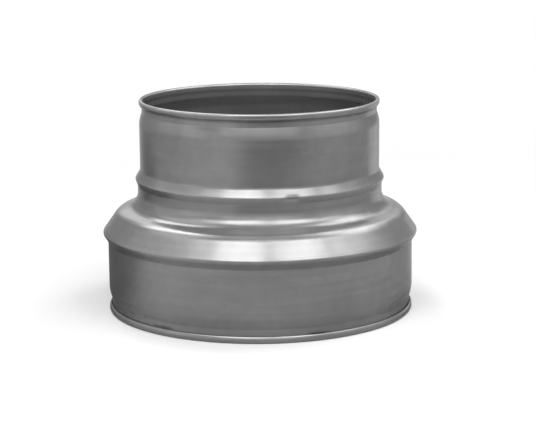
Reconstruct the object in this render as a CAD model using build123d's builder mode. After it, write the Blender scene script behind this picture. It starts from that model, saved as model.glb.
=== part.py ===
from build123d import *

import os
from math import acos, ceil, cos, radians, tan

# A duct reducer of galvanised sheet steel, from a 160 mm to a 125 mm round duct.
# It is one pressed and rolled piece: a large spigot below, a shoulder whose stop ring meets the
# end of the large duct, a neck whose stop bead meets the end of the small duct, and a small
# spigot above. A groove runs behind each open rim, and each rim is folded outward into a lip.
# The section is drawn along the middle of the sheet, thickened, and turned about Z.
# The origin is the centre of the lower rim. Lengths are millimetres, angles degrees.

# Sheet and spigots
SHEET = 0.6  # thickness of the steel
LOWER_DIAMETER = 158.9  # outside of the large spigot
UPPER_DIAMETER = 124.3  # outside of the small spigot
LOWER_INSERTION = 41.0  # lower rim to the crest of the stop ring
UPPER_INSERTION = 41.0  # crest of the stop bead to the upper rim
BEND_TOLERANCE = 0.12  # most that the short flats a bend is turned in may stand off its arc

# Folded lips, and the grooves behind them
LIP_PROUD = 0.05  # how far a lip stands out from its spigot
LIP_HEIGHT = 3.3  # rim to the edge of the folded sheet
GROOVE_DEPTH = 1.35  # spigot surface to the groove's floor
GROOVE_LENGTH = 6.8  # rim to the far end of the groove's floor
GROOVE_FLANK = 15.0  # slope of the groove's flank, from the axis

# Shoulder and its stop ring
RING_STEP = 2.45  # how far the ring's crest stands out from the large spigot
RING_BEND = 1.9  # bend of the ring's crest
RING_UNDERSIDE = 32.5  # slope of the face that meets the duct's end, from the axis
CONE_ANGLE = 35.5  # slope of the cone above the ring, from the axis
CONE_SHARE = 0.41  # part of the step from ring to neck that the cone takes, the ledge has the rest
LEDGE_ANGLE = 19.5  # slope of the ledge, from the horizontal
DOME_BEND = 8.8  # bend from the cone into the ledge
NECK_BEND = 9.1  # hollow bend from the ledge into the neck
LEDGE_BEND_LIMIT = 0.95  # most of the ledge's length that its two bends may take

# Neck and its stop bead
NECK_STEP = 1.35  # how far the neck stands out from the small spigot
NECK_HEIGHT = 3.5  # straight height between the hollow bend and the bead
BEAD_STEP = 2.45  # how far the bead's crest stands out from the small spigot
BEAD_BEND = 0.8  # bend of the bead's crest
BEAD_LOWER_FLANK = 20.0  # slope of the bead below its crest, from the axis
BEAD_UPPER_FLANK = 30.0  # slope of the bead above its crest, from the axis


def slope(angle):
    """Run across for each unit of run along, at an angle given in degrees."""
    return tan(radians(angle))


def crest_corner(crest, bend, turn):
    """Where two straight flanks would meet, so that their bend just reaches the crest."""
    return crest + bend * (1 / cos(radians(turn / 2)) - 1)


# Radii to the middle of the sheet
half_sheet = SHEET / 2
lower_r = LOWER_DIAMETER / 2 - half_sheet
upper_r = UPPER_DIAMETER / 2 - half_sheet
lower_groove_r = lower_r - GROOVE_DEPTH
upper_groove_r = upper_r - GROOVE_DEPTH
neck_r = upper_r + NECK_STEP
ring_r = crest_corner(lower_r + RING_STEP, RING_BEND, CONE_ANGLE + RING_UNDERSIDE)
bead_r = crest_corner(upper_r + BEAD_STEP, BEAD_BEND, BEAD_LOWER_FLANK + BEAD_UPPER_FLANK)
dome_r = ring_r - CONE_SHARE * (ring_r - neck_r)

# A lip's half turn joins the groove's floor to the lip's outer leg
lip_turn = (GROOVE_DEPTH + LIP_PROUD) / 2
lip_depth = half_sheet + lip_turn
lip_leg = LIP_HEIGHT - lip_depth

# The ledge's two bends keep their size while the ledge is long enough for both
ledge_length = (dome_r - neck_r) / cos(radians(LEDGE_ANGLE))
dome_turn = 90 - LEDGE_ANGLE - CONE_ANGLE
neck_turn = 90 - LEDGE_ANGLE
bend_runs = DOME_BEND * slope(dome_turn / 2) + NECK_BEND * slope(neck_turn / 2)
bend_scale = min(1, LEDGE_BEND_LIMIT * ledge_length / bend_runs)
dome_bend = DOME_BEND * bend_scale
neck_bend = NECK_BEND * bend_scale

# Heights, from the lower rim
flank_end = GROOVE_LENGTH + GROOVE_DEPTH / slope(GROOVE_FLANK)
ring_z = LOWER_INSERTION
ring_foot_z = ring_z - (ring_r - lower_r) / slope(RING_UNDERSIDE)
dome_z = ring_z + (ring_r - dome_r) / slope(CONE_ANGLE)
neck_z = dome_z + (dome_r - neck_r) * slope(LEDGE_ANGLE)
bead_foot_z = neck_z + neck_bend * slope(neck_turn / 2) + NECK_HEIGHT
bead_z = bead_foot_z + (bead_r - neck_r) / slope(BEAD_LOWER_FLANK)
bead_top_z = bead_z + (bead_r - upper_r) / slope(BEAD_UPPER_FLANK)
height = bead_z + UPPER_INSERTION

# Corners of the wall from the lower rim to the upper one, each with its bend, 0 for a crease
wall_corners = [
    (lower_groove_r, GROOVE_LENGTH, 0),
    (lower_r, flank_end, 0),
    (lower_r, ring_foot_z, 0),
    (ring_r, ring_z, RING_BEND),
    (dome_r, dome_z, dome_bend),
    (neck_r, neck_z, neck_bend),
    (neck_r, bead_foot_z, 0),
    (bead_r, bead_z, BEAD_BEND),
    (upper_r, bead_top_z, 0),
    (upper_r, height - flank_end, 0),
    (upper_groove_r, height - GROOVE_LENGTH, 0),
]


def fold_lip(end, along, turn_angle):
    """Folds a lip on from a wall's end: the half turn outward, then the leg."""
    turn = JernArc(end, along, lip_turn, turn_angle)
    Line(turn @ 1, turn @ 1 + (turn % 1) * lip_leg)


def flat_corners(arc):
    """Corners of the short flats that go round an arc. Each flat touches it, one at its middle."""
    turn = arc.length / arc.radius
    widest_turn = 2 * acos(arc.radius / (arc.radius + BEND_TOLERANCE))
    corners = 2 * ceil(turn / widest_turn / 2)
    reach = 1 / cos(turn / corners / 2)
    middles = [arc @ ((i + 0.5) / corners) for i in range(corners)]
    return [arc.arc_center + (middle - arc.arc_center) * reach for middle in middles]


def line_corners(runs):
    """Corners along runs of straight line and arc: both ends, the creases, and the flats' corners."""
    corners = [runs[0] @ 0]
    for run, following in zip(runs, runs[1:]):
        if run.geom_type == GeomType.CIRCLE:
            corners += flat_corners(run)
        elif following.geom_type == GeomType.LINE:
            corners.append(run @ 1)
    return corners + [runs[-1] @ 1]


with BuildLine() as sheet_line:
    wall = FilletPolyline(
        (lower_groove_r, lip_depth),
        *[(r, z) for r, z, bend in wall_corners],
        (upper_groove_r, height - lip_depth),
        radius=[bend for r, z, bend in wall_corners],
    )
    fold_lip(wall @ 0, -(wall % 0), 180)
    fold_lip(wall @ 1, wall % 1, -180)

with BuildPart() as reducer:
    with BuildSketch(Plane.XZ):
        with BuildLine():
            Polyline(*line_corners(sheet_line.wire().order_edges()))
        trace(line_width=SHEET)
    revolve(axis=Axis.Z)

reducer.part.label = "reducer"

os.makedirs("parts", exist_ok=True)
export_step(reducer.part, "parts/reducer.step")
print(f"height {height:.2f} mm, volume {reducer.part.volume:.1f} mm3")
print(f"large spigot's straight wall from {flank_end:.2f} to {ring_foot_z:.2f} mm")
print(f"small spigot's straight wall from {bead_top_z:.2f} to {height - flank_end:.2f} mm")
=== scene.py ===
from math import acos, atan2, ceil, cos, degrees, exp, pi, radians, sin, tan

import bpy
from mathutils import Matrix, Vector


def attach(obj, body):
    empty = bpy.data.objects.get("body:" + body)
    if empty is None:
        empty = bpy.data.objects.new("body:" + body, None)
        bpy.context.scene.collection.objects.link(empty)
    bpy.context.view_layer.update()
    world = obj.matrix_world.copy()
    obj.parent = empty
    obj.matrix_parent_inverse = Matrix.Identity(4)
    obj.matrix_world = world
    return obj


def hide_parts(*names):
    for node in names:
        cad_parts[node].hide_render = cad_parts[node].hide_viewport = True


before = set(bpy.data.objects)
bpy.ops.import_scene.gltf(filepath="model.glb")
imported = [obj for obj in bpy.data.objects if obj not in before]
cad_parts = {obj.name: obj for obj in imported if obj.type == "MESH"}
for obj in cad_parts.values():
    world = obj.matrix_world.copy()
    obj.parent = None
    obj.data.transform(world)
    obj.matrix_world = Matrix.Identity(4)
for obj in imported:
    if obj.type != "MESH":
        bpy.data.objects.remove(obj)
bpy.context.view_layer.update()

# The reducer's sheet is turned again here from the CAD model's driving sizes, with every bend as a
# fine arc and the lips rolled, because the solid's short flats would show in the reflections.
# Sizes of the sheet are millimetres and degrees. Places and sizes of the studio are metres.
MM = 0.001

# Sheet and spigots
SHEET = 0.6  # thickness of the steel
LOWER_DIAMETER = 158.9  # outside of the large spigot
UPPER_DIAMETER = 124.3  # outside of the small spigot
LOWER_INSERTION = 41.0  # lower rim to the crest of the stop ring
UPPER_INSERTION = 41.0  # crest of the stop bead to the upper rim

# Rolled lips
LIP_PROUD = 0.05  # how far a lip stands out from its spigot
LIP_LEG = 0.5  # straight run after the half turn
LIP_CURL_RADIUS = 2.4  # bend by which the edge then leans in
LOWER_LIP_GAP = 0.03  # between the lower lip's edge and the wall
UPPER_LIP_GAP = 0.15  # between the upper lip's edge and the wall

# Grooves behind the lips
GROOVE_DEPTH = 1.35  # spigot surface to the groove's floor
GROOVE_LENGTH = 6.8  # rim to the far end of the groove's floor
GROOVE_FLANK = 15.0  # slope of the flank from end to end, from the axis
GROOVE_STEEP = 20.0  # slope of the flank's first part, which then eases off
GROOVE_STEEP_RUN = 2.0  # height of that part
GROOVE_FLOOR_BEND = 1.2  # bend from the floor into the flank
GROOVE_FLANK_BEND = 12.0  # bends where the flank eases off and where it meets the spigot

# Shoulder and its stop ring
RING_STEP = 2.45  # how far the ring's crest stands out from the large spigot
RING_BEND = 1.4  # bend of the ring's crest, tighter than the solid's
RING_UNDERSIDE = 32.5  # slope of the face that meets the duct's end, from the axis
RING_FOOT_BEND = 1.5  # bend from the large spigot into that face
CONE_ANGLE = 35.5  # slope of the cone above the ring, from the axis
CONE_SHARE = 0.41  # part of the step from ring to neck that the cone takes
LEDGE_ANGLE = 19.5  # slope of the ledge, from the horizontal
DOME_BEND = 8.8  # bend from the cone into the ledge
NECK_BEND = 9.1  # hollow bend from the ledge into the neck

# Neck and its stop bead
NECK_STEP = 1.35  # how far the neck stands out from the small spigot
NECK_HEIGHT = 3.5  # height between the hollow bend and the bead's lower foot
BEAD_STEP = 2.45  # how far the bead's crest stands out from the small spigot
BEAD_BEND = 0.8  # bend of the bead's crest
BEAD_LOWER_FLANK = 20.0  # slope of the bead below its crest, from the axis
BEAD_UPPER_FLANK = 30.0  # slope of the bead above its crest, from the axis
BEAD_LOWER_FOOT_BEND = 1.2  # bend from the neck into the bead
BEAD_UPPER_FOOT_BEND = 3.0  # bend from the bead into the small spigot

# How finely the section and the turn are divided
ARC_STEP = 5.0  # degrees of bend for each face
RUN_STEP = 1.6  # longest face along a straight run
RUN_PARTS = 3  # fewest faces along a straight run
TURN_STEPS = 180  # faces round the axis

# The one dent, in the stop bead's crest
DENT_TURN = -75.8  # degrees round the axis
DENT_Z = 68.2
DENT_DEPTH = 0.55
DENT_WIDTH = 3.2  # half of its width round the axis
DENT_TALL = 1.0  # half of its height
DENT_FINE_SPAN = 5.0  # degrees to each side of it that are divided more finely
DENT_FINE_PARTS = 3  # faces there in place of each one

# Waves of the wall, as number round the axis, size, lag, and twist for each millimetre of height
WAVES = [
    (2, 0.10, 0.4, 0.0),
    (5, 0.05, 1.9, 0.02),
    (9, 0.03, 0.7, 0.05),
    (13, 0.02, 2.6, -0.04),
]

# Zinc
ZINC_COLOUR = (0.179, 0.179, 0.181)
ZINC_METALLIC = 0.7
ZINC_SPECULAR = 0.2
ZINC_SPECULAR_TINT = (0.4, 0.4, 0.4, 1)
ZINC_ROUGHNESS = 0.236
BUMP_STRENGTH = 0.05
BUMP_DISTANCE = 0.0006

# Noises in the zinc. The first two are scale, detail and roughness. The other two are drawn out round
# the axis, and are scale round it, scale across it and detail.
CLOUDS = (24.0, 2.0, 0.5)
MOTTLE = (170.0, 3.0, 0.6)
BANDS = (14.0, 330.0, 0.0)
STREAKS = (12.0, 900.0, 2.0)
NOISE_RANGE = (0.3, 0.7)  # values of a noise that are spread over its effect

# How far up and down each noise takes the brightness, and two of them the roughness
CLOUD_SHADE = 0.06
MOTTLE_SHADE = 0.04
BAND_SHADE = 0.03
STREAK_SHADE = 0.02
CLOUD_ROUGHNESS = 0.022
STREAK_ROUGHNESS = 0.01

# Painted shadows of the gap between the lower lip and the wall
LIP_GAP_SHADOWS = [(-129.0, 4.2), (-69.5, 3.7)]  # turn and height
GAP_SHADOW_SPREAD = (110, 110, 1200)  # one over the reach along each axis, per metre
GAP_SHADOW_RAGGED = 0.25  # how far the mottle moves the edge, in parts of the reach
GAP_SHADOW_FADE = (0.3, 1.1)  # parts of the reach at which a painted shadow starts to fade and ends
GAP_SHADOW_LEVEL = 0.5

# Painted shade and painted highlights in bands round the axis, as height, brightness, and how far from
# there they start to fade and end
PAINTED_BANDS = [
    (106.2, 0.7, 0.3, 1.2),  # painted shade in the crease beside the upper lip
    (38.4, 0.88, 0.9, 1.9),  # painted shade under the stop ring
    (53.3, 1.42, 1.0, 2.2),  # painted reflection on the ledge, lighter
    (68.6, 1.13, 1.0, 2.2),  # painted highlight on the stop bead's crest
]
RIM_HIGHLIGHT = 1.45  # brightness of the painted highlight on the upper rim
RIM_HIGHLIGHT_HEIGHTS = (108.2, 109.3)  # heights at which that starts and is full
INSIDE_PAINTED_LIGHT = (1.25, 1.6)  # brightness of the painted light on the inner face, and of more of it at the upper rim
INSIDE_LIGHT_HEIGHTS = (98.0, 106.0)  # heights at which that extra light towards the upper rim starts and is full
INSIDE_FACING = (-0.03, 0.0)  # place along the normal, for faces that turn inward and outward

# Floor, cards and world
FLOOR_HALF = 6.0
FLOOR_COLOUR = (0.76, 0.76, 0.76, 1)
FLOOR_FADE = (0.08, 0.6)  # distances from the axis at which plain white starts and is full
CARD_COLOUR = (0.03, 0.03, 0.03, 1)
MATT_ROUGHNESS = 0.9
WORLD_COLOUR = (1, 1, 1, 1)
WORLD_LEVEL = 0.06  # the world's light on dull surfaces

# Soft boxes, as name, azimuth, elevation, width, height, radiance and distance. Of boxes in one plane
# only one would show where they overlap, so those named middle stand a little nearer.
LIGHT_AIM = Vector((0, 0, 0.05))
SOFT_BOXES = [
    # In front and above
    ("front_left_light", -19, 51, 0.52, 0.38, 5.5, 1.0),
    ("front_left_middle", -17, 51, 0.36, 0.38, 1.2, 0.97),
    ("front_left_edge", -50, 50, 0.3, 0.36, 2.0, 1.0),
    ("front_right_light", 37, 51, 0.52, 0.38, 4.5, 1.0),
    ("front_right_middle", 39, 51, 0.26, 0.38, 1.9, 0.97),
    ("front_middle", 9, 46, 0.3, 0.32, 1.1, 0.97),
    ("front_right_edge", 66, 48, 0.3, 0.36, 1.5, 1.0),
    ("front_top", 0, 68, 0.56, 0.22, 1.5, 1.0),
    ("top_light", 180, 84, 0.8, 0.4, 0.45, 1.0),
    ("front_glow", 0, 27, 1.3, 0.36, 0.8, 1.0),
    # On the left, and behind it
    ("left_fill", -47, 9, 0.45, 0.24, 0.36, 0.45),
    ("left_light", -85, 48, 0.9, 0.3, 1.3, 1.0),
    ("left_glow", -88, 30, 0.9, 0.34, 0.45, 1.0),
    ("left_low_glow", -82, 13, 1.15, 0.4, 0.4, 1.0),
    ("left_top_light", -112, 64, 0.5, 0.24, 1.4, 1.0),
    ("left_back_light", -143, 51, 0.4, 0.48, 4.8, 1.0),
    ("left_back_low", -162, 23, 0.3, 0.46, 1.8, 1.0),
    # On the right, and behind it
    ("right_light", 95, 44, 0.8, 0.36, 2.4, 1.0),
    ("right_glow", 80, 30, 0.9, 0.34, 0.45, 1.0),
    ("right_low_glow", 78, 13, 1.0, 0.4, 0.32, 1.0),
    ("right_top_light", 112, 66, 0.5, 0.24, 0.8, 1.0),
    ("right_back_light", 117, 52, 0.45, 0.46, 3.2, 1.0),
    ("right_back_low", 134, 38, 0.3, 0.3, 2.0, 1.0),
    ("right_back_end", 154, 21, 0.3, 0.36, 1.0, 1.0),
    ("right_strip", 131, -3, 0.15, 0.08, 1.2, 0.33),
]

# Dark cards on the floor that only reflections show, painted shadow and shade in the reflections, as
# name, centre, size, share that is plain before the edges fade, and darkness
SHADE_CARDS = [
    ("left_card", (-0.13, 0.1, 0.0005), (0.5, 0.32), 0.6, 0.85),
    ("left_far_card", (-0.42, 0.3, 0.001), (0.3, 0.4), 0.3, 0.75),
    ("front_card", (0.11, -0.62, 0.0005), (0.68, 0.84), 0.5, 0.92),
    ("left_front_card", (-0.42, -0.32, 0.0025), (0.5, 0.5), 0.2, 0.25),
    ("near_card", (0.075, -0.075, 0.0015), (0.33, 0.36), 0.2, 0.28),
    ("right_card", (0.44, -0.1, 0.002), (0.44, 0.6), 0.4, 0.2),
]

# Camera, measured on the photograph
PHOTO_WIDTH = 536  # pixels
FOCAL_PIXELS = 1699.15
SENSOR_WIDTH = 36.0
CAMERA_DISTANCE = 0.8737
CAMERA_HEIGHT = 0.2263
CAMERA_YAW = 0.27
CAMERA_PITCH = 11.82
CAMERA_ROLL = -0.444


def slope(angle):
    """Run across for each unit of run along, at an angle given in degrees."""
    return tan(radians(angle))


def crest_corner(crest, bend, turn):
    """Where two straight flanks would meet, so that their bend just reaches the crest."""
    return crest + bend * (1 / cos(radians(turn / 2)) - 1)


# Radii to the middle of the sheet
half_sheet = SHEET / 2
lower_r = LOWER_DIAMETER / 2 - half_sheet
upper_r = UPPER_DIAMETER / 2 - half_sheet
lower_groove_r = lower_r - GROOVE_DEPTH
upper_groove_r = upper_r - GROOVE_DEPTH
steep_rise = GROOVE_STEEP_RUN * slope(GROOVE_STEEP)
neck_r = upper_r + NECK_STEP
ring_r = crest_corner(lower_r + RING_STEP, RING_BEND, CONE_ANGLE + RING_UNDERSIDE)
bead_r = crest_corner(upper_r + BEAD_STEP, BEAD_BEND, BEAD_LOWER_FLANK + BEAD_UPPER_FLANK)
dome_r = ring_r - CONE_SHARE * (ring_r - neck_r)

# A lip's half turn joins the groove's floor to the lip's outer leg
lip_turn = (GROOVE_DEPTH + LIP_PROUD) / 2
lip_depth = half_sheet + lip_turn

# Heights, from the lower rim
steep_end = GROOVE_LENGTH + GROOVE_STEEP_RUN
flank_end = GROOVE_LENGTH + GROOVE_DEPTH / slope(GROOVE_FLANK)
ring_z = LOWER_INSERTION
ring_foot_z = ring_z - (ring_r - lower_r) / slope(RING_UNDERSIDE)
dome_z = ring_z + (ring_r - dome_r) / slope(CONE_ANGLE)
neck_z = dome_z + (dome_r - neck_r) * slope(LEDGE_ANGLE)
bead_foot_z = neck_z + NECK_BEND * slope((90 - LEDGE_ANGLE) / 2) + NECK_HEIGHT
bead_z = bead_foot_z + (bead_r - neck_r) / slope(BEAD_LOWER_FLANK)
bead_top_z = bead_z + (bead_r - upper_r) / slope(BEAD_UPPER_FLANK)
rim_z = bead_z + UPPER_INSERTION

# Corners of the wall from the lower rim to the upper one, each with its bend
wall_corners = [
    (lower_groove_r, GROOVE_LENGTH, GROOVE_FLOOR_BEND),
    (lower_groove_r + steep_rise, steep_end, GROOVE_FLANK_BEND),
    (lower_r, flank_end, GROOVE_FLANK_BEND),
    (lower_r, ring_foot_z, RING_FOOT_BEND),
    (ring_r, ring_z, RING_BEND),
    (dome_r, dome_z, DOME_BEND),
    (neck_r, neck_z, NECK_BEND),
    (neck_r, bead_foot_z, BEAD_LOWER_FOOT_BEND),
    (bead_r, bead_z, BEAD_BEND),
    (upper_r, bead_top_z, BEAD_UPPER_FOOT_BEND),
    (upper_r, rim_z - flank_end, GROOVE_FLANK_BEND),
    (upper_groove_r + steep_rise, rim_z - steep_end, GROOVE_FLANK_BEND),
    (upper_groove_r, rim_z - GROOVE_LENGTH, GROOVE_FLOOR_BEND),
]


def straight(start, end):
    """Points along a straight run, without its start."""
    count = max(RUN_PARTS, ceil((end - start).length / RUN_STEP))
    return [start.lerp(end, (i + 1) / count) for i in range(count)]


def arc(centre, start, turn):
    """Points along an arc from a start point, without that point. A positive turn is to the left."""
    count = max(2, ceil(abs(turn) / ARC_STEP))
    spoke = start - centre
    points = []
    for i in range(count):
        a = radians(turn) * (i + 1) / count
        turned = Vector((spoke.x * cos(a) - spoke.y * sin(a), spoke.x * sin(a) + spoke.y * cos(a)))
        points.append(centre + turned)
    return points


def bent_line(start, corners, end):
    """Points along a line from start to end whose corners, (r, z, bend), are rounded."""
    points = [start]
    stations = [start] + [Vector(c[:2]) for c in corners] + [end]
    for i, (r, z, bend) in enumerate(corners):
        corner = Vector((r, z))
        along = (corner - stations[i]).normalized()
        onward = (stations[i + 2] - corner).normalized()
        turn = atan2(along.cross(onward), along.dot(onward))
        back = bend * tan(abs(turn) / 2)
        side = Vector((-along.y, along.x)) * (1 if turn > 0 else -1)
        bend_start = corner - along * back
        points += straight(points[-1], bend_start)
        points += arc(bend_start + side * bend, bend_start, degrees(turn))
    return points + straight(points[-1], end)


def rolled_lip(start, gap):
    """Points of a lip rolled outward from a wall's upper end: half turn, leg, and edge leaning in."""
    lean = GROOVE_DEPTH + LIP_PROUD - SHEET - gap
    curl = degrees(acos(1 - lean / LIP_CURL_RADIUS))
    points = arc(start + Vector((lip_turn, 0)), start, -180)
    points += straight(points[-1], points[-1] - Vector((0, LIP_LEG)))
    return points + arc(points[-1] - Vector((LIP_CURL_RADIUS, 0)), points[-1], -curl)


def sheet_middle():
    """The section's line along the middle of the sheet, from the lower lip's edge to the upper one's."""
    wall_start = Vector((lower_groove_r, lip_depth))
    wall_end = Vector((upper_groove_r, rim_z - lip_depth))
    wall = bent_line(wall_start, wall_corners, wall_end)
    upper_lip = rolled_lip(wall_end, UPPER_LIP_GAP)
    flipped_start = Vector((wall_start.x, -wall_start.y))
    lower_lip = [Vector((p.x, -p.y)) for p in rolled_lip(flipped_start, LOWER_LIP_GAP)]
    return lower_lip[::-1] + wall + upper_lip


def thickened(middle):
    """Closed outline of the sheet: its outer face, and back along its inner face."""
    outer = []
    inner = []
    for i, point in enumerate(middle):
        before = middle[max(i - 1, 0)]
        after = middle[min(i + 1, len(middle) - 1)]
        along = (after - before).normalized()
        across = Vector((along.y, -along.x)) * half_sheet
        outer.append(point + across)
        inner.append(point - across)
    return outer + inner[::-1]


def turn_angles():
    """Angles of the faces round the axis, closer together beside the dent."""
    step = 2 * pi / TURN_STEPS
    angles = []
    for i in range(TURN_STEPS):
        angle = i * step - pi
        near = abs(angle + step / 2 - radians(DENT_TURN)) < radians(DENT_FINE_SPAN)
        parts = DENT_FINE_PARTS if near else 1
        angles += [angle + step * part / parts for part in range(parts)]
    return angles


def unevenness(angle, z):
    """How far the formed sheet stands out from the true round, in millimetres."""
    wave = sum(size * cos(count * angle + lag + z * twist) for count, size, lag, twist in WAVES)
    along = (angle - radians(DENT_TURN)) * (UPPER_DIAMETER / 2) / DENT_WIDTH
    across = (z - DENT_Z) / DENT_TALL
    return wave - DENT_DEPTH * exp(-(along ** 4 + across ** 2))


def turned_mesh(name, outline):
    """Turns a closed outline about Z into a mesh with smooth faces."""
    count = len(outline)
    angles = turn_angles()
    vertices = []
    for angle in angles:
        for p in outline:
            r = p.x + unevenness(angle, p.y)
            vertices.append(Vector((r * cos(angle), r * sin(angle), p.y)) * MM)
    faces = []
    for step in range(len(angles)):
        here = step * count
        there = (step + 1) % len(angles) * count
        for i in range(count):
            j = (i + 1) % count
            faces.append((here + i, there + i, there + j, here + j))
    mesh = bpy.data.meshes.new(name)
    mesh.from_pydata(vertices, [], faces)
    mesh.shade_smooth()
    return mesh


class Nodes:
    """Short calls that add nodes to a material's or the world's tree and link them."""

    def __init__(self, owner):
        owner.use_nodes = True
        self.tree = owner.node_tree

    def get(self, name):
        return self.tree.nodes[name]

    def set_inputs(self, node, inputs):
        """Sets a node's inputs, by name or number, to a value or to another node's output."""
        for key, value in inputs.items():
            if isinstance(value, bpy.types.NodeSocket):
                self.tree.links.new(value, node.inputs[key])
            else:
                node.inputs[key].default_value = value

    def add(self, kind, inputs, **settings):
        """A new node with its inputs and settings."""
        node = self.tree.nodes.new("ShaderNode" + kind)
        for name, value in settings.items():
            setattr(node, name, value)
        self.set_inputs(node, inputs)
        return node

    def place(self):
        """The place on the object, in its own coordinates."""
        return self.add("TexCoord", {}).outputs["Object"]

    def coordinate(self, vector, axis):
        return self.add("SeparateXYZ", {0: vector}).outputs[axis]

    def math(self, operation, a, b):
        return self.add("Math", {0: a, 1: b}, operation=operation).outputs[0]

    def vector(self, operation, a, b):
        return self.add("VectorMath", {0: a, 1: b}, operation=operation).outputs[0]

    def dot(self, a, b):
        return self.add("VectorMath", {0: a, 1: b}, operation="DOT_PRODUCT").outputs["Value"]

    def length(self, a):
        return self.add("VectorMath", {0: a}, operation="LENGTH").outputs["Value"]

    def scaled(self, vector, factor):
        return self.add("VectorMath", {0: vector, "Scale": factor}, operation="SCALE").outputs[0]

    def product(self, factors):
        result = factors[0]
        for factor in factors[1:]:
            result = self.math("MULTIPLY", result, factor)
        return result

    def away(self, value, middle):
        """How far a value is from a middle, to either side."""
        offset = self.math("SUBTRACT", value, middle)
        return self.add("Math", {0: offset}, operation="ABSOLUTE").outputs[0]

    def noise(self, vector, scale, detail, roughness=0.5):
        inputs = {"Vector": vector, "Scale": scale, "Detail": detail, "Roughness": roughness}
        return self.add("TexNoise", inputs).outputs["Fac"]

    def spread(self, value, low, high, to_low, to_high):
        """Maps a value from one range to another, smoothly and without going past its ends."""
        inputs = {"Value": value, "From Min": low, "From Max": high, "To Min": to_low, "To Max": to_high}
        return self.add("MapRange", inputs, interpolation_type="SMOOTHSTEP").outputs["Result"]

    def vary(self, noise, middle, amount):
        """A noise spread from an amount below a middle to the same amount above it."""
        return self.spread(noise, *NOISE_RANGE, middle - amount, middle + amount)

    def seen(self):
        """1 for the rays that show a background: those of the camera, of metal and of glass."""
        path = self.add("LightPath", {})
        shown = self.math("MAXIMUM", path.outputs["Is Camera Ray"], path.outputs["Is Glossy Ray"])
        return self.math("MAXIMUM", shown, path.outputs["Is Transmission Ray"])

    def mix_surface(self, share, first, second):
        """Makes the material's surface a mix of two shaders, with a share of the second."""
        mixed = self.add("MixShader", {0: share, 1: first.outputs[0], 2: second.outputs[0]})
        self.set_inputs(self.get("Material Output"), {"Surface": mixed.outputs[0]})


def rolled_noise(nodes, place, round_scale, across_scale, detail):
    """Noise drawn out round the axis, as rolling marks are."""
    radius = nodes.length(nodes.vector("MULTIPLY", place, (1, 1, 0)))
    across = nodes.math("SUBTRACT", nodes.coordinate(place, "Z"), radius)
    flat = nodes.vector("MULTIPLY", place, (round_scale, round_scale, 0))
    up = nodes.add("CombineXYZ", {"Z": nodes.math("MULTIPLY", across, across_scale)}).outputs[0]
    return nodes.noise(nodes.vector("ADD", flat, up), 1.0, detail)


def painted_gap_shadow(nodes, place, mottle):
    """Brightness of the painted shadows in the lower lip's gap, whose edges the mottle makes ragged. It
    is 1 away from them.
    """
    r = LOWER_DIAMETER / 2
    shade = 1.0
    for turn, z in LIP_GAP_SHADOWS:
        a = radians(turn)
        centre = Vector((r * cos(a), r * sin(a), z)) * MM
        offset = nodes.vector("MULTIPLY", nodes.vector("SUBTRACT", place, centre), GAP_SHADOW_SPREAD)
        ragged = nodes.math("ADD", nodes.length(offset), nodes.vary(mottle, 0.0, GAP_SHADOW_RAGGED))
        shade = nodes.math("MINIMUM", nodes.spread(ragged, *GAP_SHADOW_FADE, GAP_SHADOW_LEVEL, 1.0), shade)
    return shade


def painted_inside_light(nodes, place, height):
    """Brightness of the painted light on the inner face, more so at the upper rim. It is 1 on the outer
    face.
    """
    normal = nodes.add("NewGeometry", {}).outputs["Normal"]
    inside = nodes.spread(height, *INSIDE_LIGHT_HEIGHTS, *INSIDE_PAINTED_LIGHT)
    return nodes.spread(nodes.dot(normal, place), *INSIDE_FACING, inside, 1.0)


def zinc_material():
    """Dull galvanised steel: cloudy zinc with rolling marks, painted shade in gaps and creases, and
    painted highlights and light on bands, the upper rim and the inner face.
    """
    material = bpy.data.materials.new("zinc")
    nodes = Nodes(material)
    place = nodes.place()
    height = nodes.math("DIVIDE", nodes.coordinate(place, "Z"), MM)
    clouds = nodes.noise(place, *CLOUDS)
    mottle = nodes.noise(place, *MOTTLE)
    bands = rolled_noise(nodes, place, *BANDS)
    streaks = rolled_noise(nodes, place, *STREAKS)

    shades = [
        nodes.vary(clouds, 1.0, CLOUD_SHADE),
        nodes.vary(mottle, 1.0, MOTTLE_SHADE),
        nodes.vary(bands, 1.0, BAND_SHADE),
        nodes.vary(streaks, 1.0, STREAK_SHADE),
        # painted shadows in the lower lip's gap
        painted_gap_shadow(nodes, place, mottle),
    ]
    # painted shade in the crease and under the ring, and painted highlights on the ledge and the bead's
    # crest
    for z, tone, fade, end in PAINTED_BANDS:
        shades.append(nodes.spread(nodes.away(height, z), fade, end, tone, 1.0))
    # painted highlight on the upper rim
    shades.append(nodes.spread(height, *RIM_HIGHLIGHT_HEIGHTS, 1.0, RIM_HIGHLIGHT))
    # painted light on the inner face
    shades.append(painted_inside_light(nodes, place, height))

    cloud_rough = nodes.vary(clouds, ZINC_ROUGHNESS, CLOUD_ROUGHNESS)
    streak_rough = nodes.vary(streaks, 0.0, STREAK_ROUGHNESS)
    bump = nodes.add("Bump", {"Strength": BUMP_STRENGTH, "Distance": BUMP_DISTANCE, "Height": bands})
    nodes.set_inputs(nodes.get("Principled BSDF"), {
        "Base Color": nodes.scaled(ZINC_COLOUR, nodes.product(shades)),
        "Metallic": ZINC_METALLIC,
        "Roughness": nodes.math("ADD", cloud_rough, streak_rough),
        "Specular IOR Level": ZINC_SPECULAR,
        "Specular Tint": ZINC_SPECULAR_TINT,
        "Normal": bump.outputs[0],
    })
    return material


def new_object(name, data):
    """An object linked into the scene."""
    item = bpy.data.objects.new(name, data)
    bpy.context.collection.objects.link(item)
    return item


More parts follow.
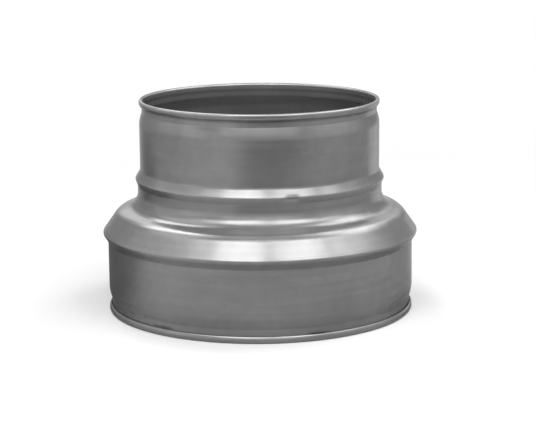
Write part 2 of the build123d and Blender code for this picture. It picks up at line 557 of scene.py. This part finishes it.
def flat_square(name, half):
    """A level square about the origin."""
    mesh = bpy.data.meshes.new(name)
    corners = [(-half, -half, 0), (half, -half, 0), (half, half, 0), (-half, half, 0)]
    mesh.from_pydata(corners, [], [(0, 1, 2, 3)])
    return new_object(name, mesh)


def make_reducer():
    """The dressed sheet, which stands for the CAD node."""
    piece = new_object("reducer_sheet", turned_mesh("reducer_sheet", thickened(sheet_middle())))
    piece.data.materials.append(zinc_material())
    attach(piece, "root")
    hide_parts("reducer")


def make_floor():
    """A pale matt floor. Towards its far parts, where no shadow falls, it is shown as plain white."""
    floor = flat_square("floor", FLOOR_HALF)
    material = bpy.data.materials.new("floor_white")
    nodes = Nodes(material)
    matt = nodes.get("Principled BSDF")
    nodes.set_inputs(matt, {
        "Base Color": FLOOR_COLOUR,
        "Roughness": MATT_ROUGHNESS,
        "Specular IOR Level": 0.0,
    })
    far = nodes.spread(nodes.length(nodes.place()), *FLOOR_FADE, 0.0, 1.0)
    white = nodes.add("Emission", {"Strength": 1.0})
    nodes.mix_surface(nodes.math("MULTIPLY", nodes.seen(), far), matt, white)
    floor.data.materials.append(material)


def make_softbox(name, azimuth, elevation, width, height, radiance, distance):
    """A soft area light aimed at the reducer. Azimuth 0 is the camera's side and 90 its right."""
    data = bpy.data.lights.new(name, "AREA")
    data.shape = "RECTANGLE"
    data.size = width
    data.size_y = height
    data.energy = radiance * pi * width * height
    light = new_object(name, data)
    a = radians(azimuth)
    e = radians(elevation)
    back = Vector((sin(a) * cos(e), -cos(a) * cos(e), sin(e)))
    light.location = LIGHT_AIM + back * distance
    light.rotation_mode = "QUATERNION"
    light.rotation_quaternion = (-back).to_track_quat("-Z", "Y")
    light.visible_camera = False


def make_shade_card(name, centre, size, plain, darkness):
    """A dark card on the floor that only reflections show, painting shadow into them. Its own
    coordinates go from -1 to 1.
    """
    card = flat_square(name, 1.0)
    card.location = centre
    card.scale = (size[0] / 2, size[1] / 2, 1)
    material = bpy.data.materials.new(name)
    nodes = Nodes(material)
    matt = nodes.get("Principled BSDF")
    nodes.set_inputs(matt, {"Base Color": CARD_COLOUR, "Roughness": MATT_ROUGHNESS})
    place = nodes.place()
    share = darkness
    for axis in "XY":
        out = nodes.away(nodes.coordinate(place, axis), 0.0)
        share = nodes.math("MULTIPLY", nodes.spread(out, plain, 1.0, 1.0, 0.0), share)
    nodes.mix_surface(share, nodes.add("BsdfTransparent", {}), matt)
    card.data.materials.append(material)
    card.visible_camera = False
    card.visible_diffuse = False
    card.visible_shadow = False


def make_world():
    """A plain world that the camera and reflections see as white."""
    world = bpy.data.worlds.new("studio")
    bpy.context.scene.world = world
    nodes = Nodes(world)
    level = nodes.spread(nodes.seen(), 0.0, 1.0, WORLD_LEVEL, 1.0)
    nodes.set_inputs(nodes.get("Background"), {"Color": WORLD_COLOUR, "Strength": level})


def make_camera():
    """The camera at the photograph's place and angle."""
    data = bpy.data.cameras.new("camera")
    data.sensor_width = SENSOR_WIDTH
    data.sensor_fit = "HORIZONTAL"
    data.lens = FOCAL_PIXELS / PHOTO_WIDTH * SENSOR_WIDTH
    camera = new_object("camera", data)
    turn = (
        Matrix.Rotation(radians(-CAMERA_YAW), 4, "Z")
        @ Matrix.Rotation(radians(90 - CAMERA_PITCH), 4, "X")
        @ Matrix.Rotation(radians(CAMERA_ROLL), 4, "Z")
    )
    camera.matrix_world = Matrix.Translation((0, -CAMERA_DISTANCE, CAMERA_HEIGHT)) @ turn
    bpy.context.scene.camera = camera


make_reducer()
make_floor()
for box in SOFT_BOXES:
    make_softbox(*box)
for card in SHADE_CARDS:
    make_shade_card(*card)
make_world()
make_camera()
bpy.context.scene.view_settings.view_transform = "Standard"
